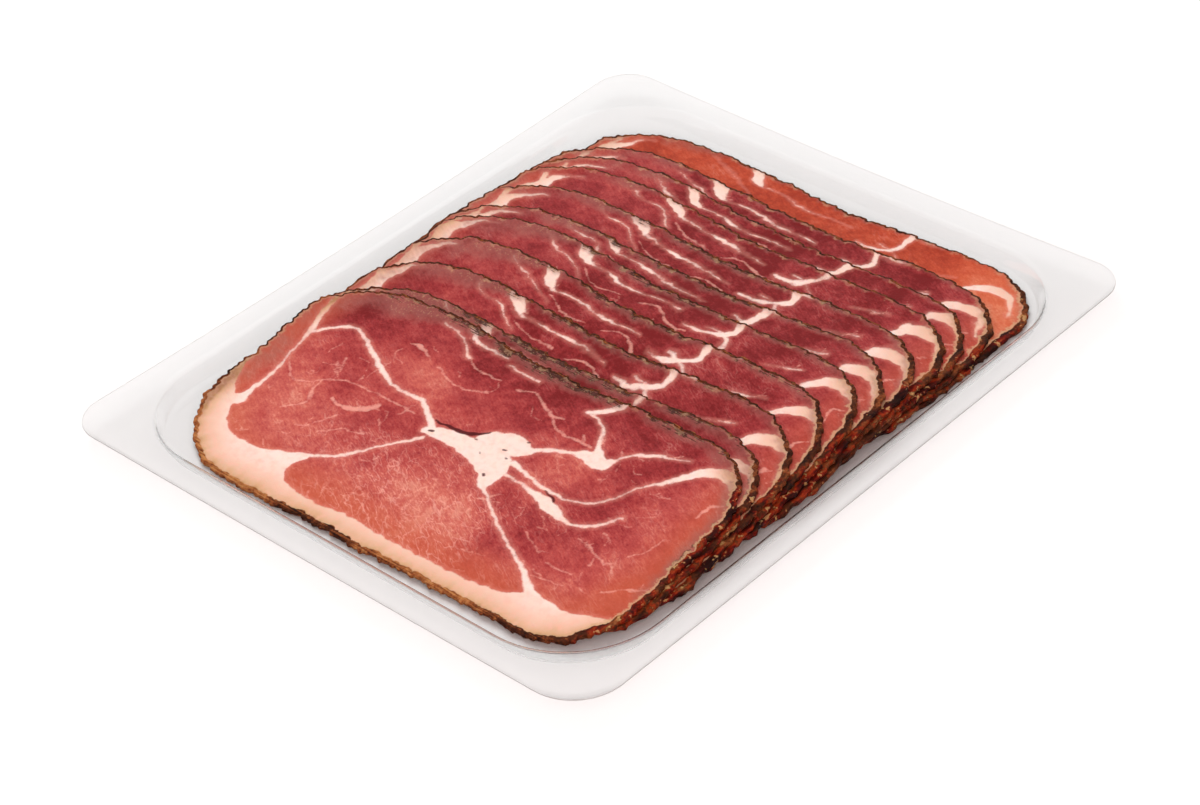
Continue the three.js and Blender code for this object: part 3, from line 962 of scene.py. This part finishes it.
def fields(tree):
    """The values kept on the points, and the noises, by name."""
    see = {name: add(tree, "ShaderNodeAttribute", {"attribute_name": name}).outputs["Fac"] for name in KEPT}
    place = add(tree, "ShaderNodeAttribute", {"attribute_name": "cut_place"}).outputs["Vector"]
    for name, (size, angle) in NOISES.items():
        turned = add(tree, "ShaderNodeMapping", {
            "vector_type": "TEXTURE", "Rotation": (0, 0, math.radians(angle)), "Scale": size}, {
            "Vector": place})
        see[name] = add(tree, "ShaderNodeTexNoise", {"Scale": 1.0, "Detail": 2.5}, {"Vector": turned})
    # Streaks follow the edge: long ones at the front and back, and others at the two ends.
    see["streaks"] = add(tree, "ShaderNodeMix", links={
        0: see["side"], 2: see["front_streaks"], 3: see["end_streaks"]})
    return see


def vary(tree, see, base, **amounts):
    """A value varied by noises: each is counted from its middle, times its amount."""
    middle = sum(amounts.values()) / 2
    total = add(tree, "ShaderNodeMath", {"operation": "SUBTRACT", 1: middle}, {0: base})
    for name, amount in amounts.items():
        total = add(tree, "ShaderNodeMath", {"operation": "MULTIPLY_ADD", 1: amount}, {
            0: see[name], 2: total})
    return total


def show(tree, see, base, start, end, most=1.0, **amounts):
    """How much of a layer shows: from 0 to most, as its varied value rises from start to end."""
    value = vary(tree, see, base, **amounts)
    return add(tree, "ShaderNodeMapRange", {
        "interpolation_type": "SMOOTHSTEP", "From Min": start, "From Max": end, "To Max": most}, {
        "Value": value})


# %% Lean meat
def lean_meat(tree, see, stops):
    """Muscle: its tone varied by noise of every size, with specks and threads of fat in patches."""
    tone = vary(tree, see, see["tone"], broad=0.8, fibres=0.35, bundles=0.5, grain=0.35, fine=0.4)
    lean = add(tree, "ShaderNodeValToRGB", {"stops": stops}, {0: tone})
    warmth = add(tree, "ShaderNodeMath", {"operation": "MULTIPLY", 1: 0.65}, {0: see["toasted"]})
    lean = add(tree, "ShaderNodeMix", {**COLOURS, 7: "#BE5A3C"}, {0: warmth, 6: lean})

    patch = show(tree, see, see["marbling"], 0.1, 0.9, broad=1.4)
    speck = show(tree, see, see["grain"], 0.5, 0.78, 0.35)
    # A thread lies where its noise crosses the middle.
    off_middle = add(tree, "ShaderNodeMath", {"operation": "SUBTRACT", 1: 0.5}, {0: see["threads"]})
    off_middle = add(tree, "ShaderNodeMath", {"operation": "ABSOLUTE"}, {0: off_middle})
    thread = add(tree, "ShaderNodeMapRange", {
        "interpolation_type": "SMOOTHSTEP", "From Min": 0.0, "From Max": 0.025, "To Min": 0.36,
        "To Max": 0.0}, {"Value": off_middle})
    for share, code in ((speck, "#EFAE9E"), (thread, "#F0B4A6")):
        share = add(tree, "ShaderNodeMath", {"operation": "MULTIPLY"}, {0: share, 1: patch})
        lean = add(tree, "ShaderNodeMix", {**COLOURS, 7: code}, {0: share, 6: lean})
    return lean


# %% Fat between and round the muscles
def with_fat(tree, see, lean):
    """Fat over lean: a pale halo, drawn veins, then the strands and the outer layer, and last the painted
    shade of the openings.
    """
    depth = vary(tree, see, see["fat_depth"], bundles=0.6, broad=0.4, fine=0.4)
    halo = show(tree, see, depth, -1.6, 0.1, 0.26)
    vein = show(tree, see, see["vein_depth"], -0.25, 0.35, 0.6, bundles=0.8, fine=0.4)
    strand = show(tree, see, depth, -0.22, 0.45)

    # Pinkish white deep inside, cream and tan towards the rind.
    from_rind = vary(tree, see, see["from_rind"], broad=4.0)
    fat = add(tree, "ShaderNodeMapRange", {"From Min": 0.3, "From Max": 13.0}, {"Value": from_rind})
    fat = add(tree, "ShaderNodeValToRGB", {"stops": (
        (0.0, "#AC8256"), (0.1, "#CEA47E"), (0.3, "#E2B8A0"), (0.6, "#EECBBB"), (1.0, "#F6DACF"))}, {0: fat})
    rosy = add(tree, "ShaderNodeMapRange", {"From Min": 0.45, "From Max": 0.75, "To Max": 0.45}, {
        "Value": see["bundles"]})
    fat = add(tree, "ShaderNodeMix", {**COLOURS, 7: "#EDB5A4"}, {0: rosy, 6: fat})

    for cover, code in ((halo, "#E69C8C"), (vein, "#F0B0A0")):
        lean = add(tree, "ShaderNodeMix", {**COLOURS, 7: code}, {0: cover, 6: lean})
    meat = add(tree, "ShaderNodeMix", COLOURS, {0: strand, 6: lean, 7: fat})
    # Painted shade: the openings and pores are coloured dark red-brown, as their hollows would lie in shade.
    slit = add(tree, "ShaderNodeMapRange", {"From Min": -0.2, "From Max": 0.1, "To Max": 0.92}, {
        "Value": see["slit_depth"]})
    return add(tree, "ShaderNodeMix", {**COLOURS, 7: "#480A10"}, {0: slit, 6: meat}), strand


# %% Smoke along the edges
def with_smoke(tree, see, meat):
    """A brown haze that fades into the meat, with dark streaks and pale flecks along the edge."""
    haze = show(tree, see, see["smoke"], 0.1, 0.9, 0.6, bundles=0.4, broad=1.1, fibres=0.4)
    dark = show(tree, see, see["char"], 0.72, 1.0, 0.88, streaks=1.2, bundles=1.0, broad=1.0, fine=0.5)
    fleck = add(tree, "ShaderNodeMath", {"operation": "MULTIPLY"}, {0: see["fine"], 1: haze})
    fleck = show(tree, see, fleck, 0.33, 0.4, 0.4)
    for cover, code in ((haze, "#8C5C54"), (dark, "#3A2018"), (fleck, "#B09070")):
        meat = add(tree, "ShaderNodeMix", {**COLOURS, 7: code}, {0: cover, 6: meat})
    return meat


# %% Rind
def brown_rind(tree, see):
    """A crust from black-brown to golden, streaked along the edge."""
    brown = vary(tree, see, see["golden"], streaks=2.2, fine=1.0, bundles=1.0)
    brown = add(tree, "ShaderNodeMapRange", {"From Min": -0.7, "From Max": 1.3}, {"Value": brown})
    return add(tree, "ShaderNodeValToRGB", {"stops": (
        (0.15, "#1E0C06"), (0.4, "#4E2410"), (0.6, "#8A4C28"), (0.85, "#B8804C"))}, {0: brown})


def painted_glow_rind(tree, see):
    """The right end: a crust from deep red to near black with tan crumbs. Its reds are painted light coming
    through the meat, and its near-black streaks painted shade between the slices.
    """
    glow = vary(tree, see, see["end_streaks"], end_streaks=1.3, bundles=0.5, fine=0.5)
    glow = add(tree, "ShaderNodeValToRGB", {"stops": (
        (0.2, "#200604"), (0.42, "#440A04"), (0.56, "#701608"), (0.7, "#8E3010"), (0.84, "#52240C"),
        (1.0, "#A87A4C"))}, {0: glow})
    crumb = show(tree, see, see["bundles"], 0.78, 0.9, 0.75, bundles=1.0, broad=0.6, fine=0.8)
    return add(tree, "ShaderNodeMix", {**COLOURS, 7: "#BE9664"}, {0: crumb, 6: glow})


def with_rind(tree, see, meat):
    """The rind over the meat, with a tan fringe just inside it. At the right end the rind is painted with the
    light that comes through the meat and the shade between the slices.
    """
    painted_glow_end = show(tree, see, see["painted_glow_end"], 0.8, 1.05, broad=1.6, bundles=1.2)
    rind = add(tree, "ShaderNodeMix", COLOURS, {
        0: painted_glow_end, 6: brown_rind(tree, see), 7: painted_glow_rind(tree, see)})
    fringe = show(tree, see, see["rind_depth"], -1.1, -0.3, 0.75, bundles=3.0, broad=1.0, fine=1.6)
    fringe = add(tree, "ShaderNodeMath", {"operation": "MULTIPLY"}, {0: fringe, 1: see["fringe"]})
    meat = add(tree, "ShaderNodeMix", {**COLOURS, 7: "#C8A07C"}, {0: fringe, 6: meat})
    crust = show(
        tree, see, see["rind_depth"], -0.12, 0.14, bundles=1.0, streaks=0.3, broad=0.8, fine=0.6)
    return add(tree, "ShaderNodeMix", COLOURS, {0: crust, 6: meat, 7: rind}), crust


# %% Material of the ham
# Lean meat from burgundy to coral, and a lighter, more orange copy for the lowest slice, which lies alone on
# the tray: it paints the light that comes through it from the white floor below.
LEAN = ((0.0, "#74191B"), (0.3, "#963234"), (0.55, "#B04A46"), (0.8, "#C46458"), (1.0, "#D48472"))
LIT_THROUGH_LEAN = ((0.0, "#9C3622"), (0.3, "#B84A30"), (0.55, "#C65A3C"), (0.8, "#D06C4C"), (1.0, "#DC8664"))


def smoked_ham(name, lean_stops):
    """Moist meat with fibres that stand out a little, a soft glow from inside and a duller crust."""
    material, tree = new_material(name)
    see = fields(tree)
    meat, fat = with_fat(tree, see, lean_meat(tree, see, lean_stops))
    colour, crust = with_rind(tree, see, with_smoke(tree, see, meat))
    gloss = add(tree, "ShaderNodeMapRange", {"To Min": 0.42, "To Max": 0.6}, {"Value": crust})
    relief = vary(tree, see, fat, fibres=0.6, fine=0.8)
    bump = add(tree, "ShaderNodeBump", {"Strength": 0.5, "Distance": 0.2 * MM}, {"Height": relief})
    flesh = add(tree, "ShaderNodeBsdfPrincipled", {
        "IOR": 1.4, "Specular IOR Level": 0.2, "Subsurface Weight": 0.35,
        "Subsurface Radius": (1.0, 0.3, 0.2), "Subsurface Scale": 1.5 * MM}, {
        "Base Color": colour, "Roughness": gloss, "Normal": bump})
    add(tree, "ShaderNodeOutputMaterial", links={"Surface": flesh})
    return material


ham = smoked_ham("smoked_ham", LEAN)
lit_through_ham = smoked_ham("smoked_ham_painted_lit_through", LIT_THROUGH_LEAN)
for number, piece in enumerate(slices, 1):
    piece.data.materials.append(lit_through_ham if number == 1 else ham)
print("materials:", ham.name, lit_through_ham.name)
